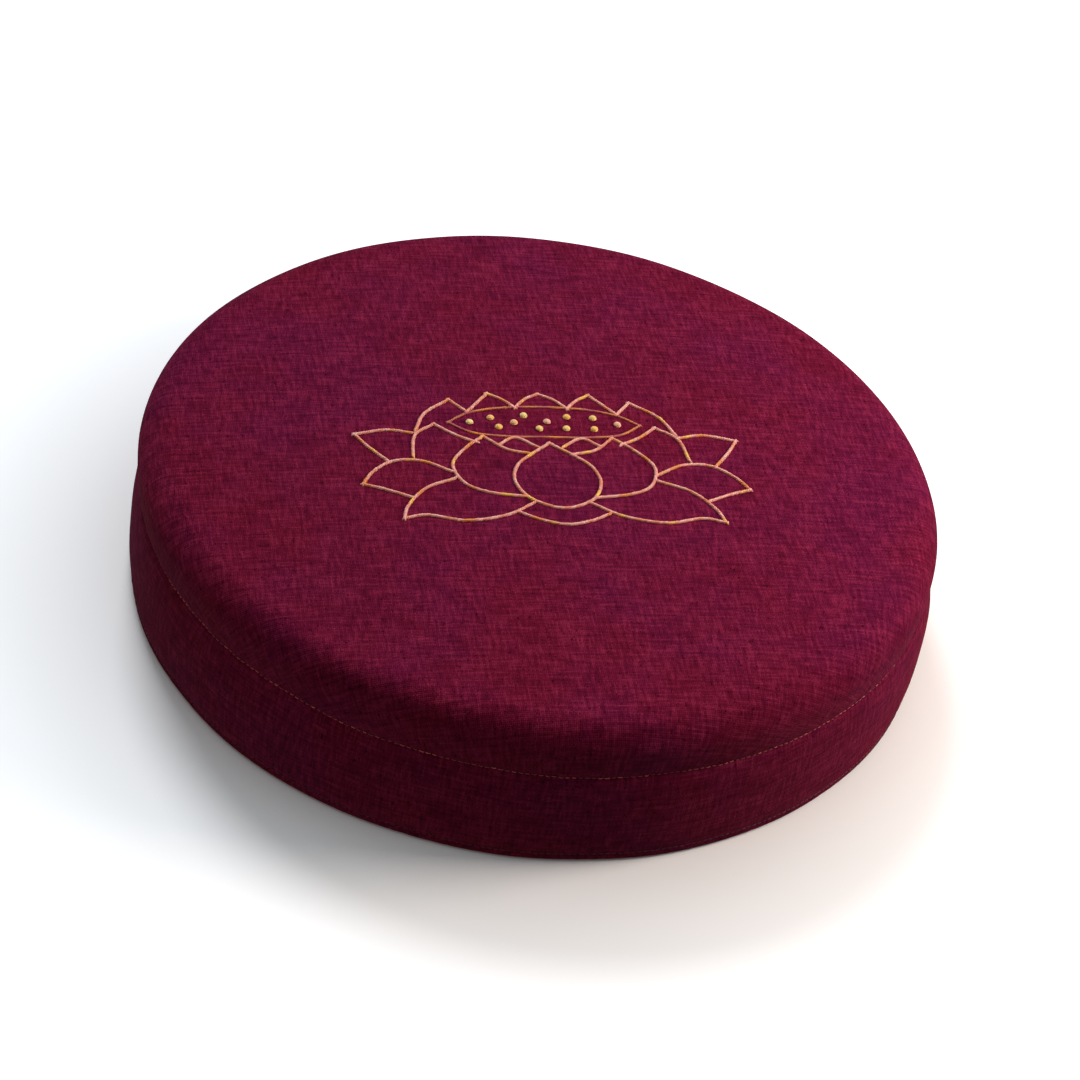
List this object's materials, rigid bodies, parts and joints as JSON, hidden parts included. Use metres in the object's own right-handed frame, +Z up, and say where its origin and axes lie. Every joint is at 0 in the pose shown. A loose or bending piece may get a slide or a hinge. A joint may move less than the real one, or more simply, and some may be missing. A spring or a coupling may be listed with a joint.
{
  "type": "floor cushion",
  "caption": "Round floor and kneeling cushion with a removable linen cover, an outline lotus embroidered on the crown, a side seam with a zip at the back, and a layered foam pad.",
  "frame": {"origin": "on the floor under the cushion's centre", "axes": "+Z up; the lotus reads upright when seen from -Y, and the zip runs round the back, which is +Y"},
  "size_m": [0.4, 0.4, 0.0892],
  "materials": {
    "cover_linen": "slubby plain-weave linen, wine red, matt",
    "base_cloth": "plain close-woven cotton, dark wine, matt",
    "seam_thread": "twisted polyester sewing thread, wine red",
    "embroidery_thread": "variegated rayon embroidery thread, rose to gold, soft sheen",
    "knot_thread": "rayon embroidery thread, gold, soft sheen",
    "backing_cloth": "non-woven stabiliser cloth, white",
    "zip_tape": "woven polyester zip tape, wine red",
    "zip_coil": "nylon zip coil, wine red, satin",
    "zip_metal": "die-cast zip slider, nickel plated, satin",
    "liner_cloth": "non-woven lining cloth, off-white",
    "foam_firm": "dense closed-cell foam, off-white",
    "foam_core": "firm open-cell foam, pale cream",
    "foam_soft": "soft open-cell foam, pale cream",
    "wadding": "polyester wadding, white, fluffy"
  },
  "bodies": {
    "cushion": {"cover_top_panel": "cover_linen", "cover_side_band": "cover_linen", "cover_base_panel": "base_cloth", "side_seam_thread": "seam_thread", "base_seam_thread": "seam_thread", "lotus_outline": "embroidery_thread", "lotus_seed_knots": "knot_thread", "embroidery_backing": "backing_cloth", "zip_tape_upper": "zip_tape", "zip_tape_lower": "zip_tape", "zip_coil_upper": "zip_coil", "zip_coil_lower": "zip_coil", "zip_stop_closed": "zip_metal", "zip_stop_open": "zip_metal", "liner_top_panel": "liner_cloth", "liner_side_band": "liner_cloth", "liner_base_panel": "liner_cloth", "foam_base_layer": "foam_firm", "foam_core": "foam_core", "foam_comfort_layer": "foam_soft", "wadding_crown": "wadding"},
    "zip_slider": {"zip_slider_body": "zip_metal"},
    "zip_pull": {"zip_pull_tab": "zip_metal"}
  },
  "joints": [
    {"name": "zip_travel", "type": "hinge", "parent": "cushion", "child": "zip_slider", "pos_m": [0, 0, 0.053], "axis": [0, 0, 1], "range_deg": [0, 143]},
    {"name": "pull_tab_swing", "type": "hinge", "parent": "zip_slider", "child": "zip_pull", "pos_m": [0.19101, 0.06257, 0.053], "axis": [0, 0, -1], "range_deg": [0, 180]}
  ]
}
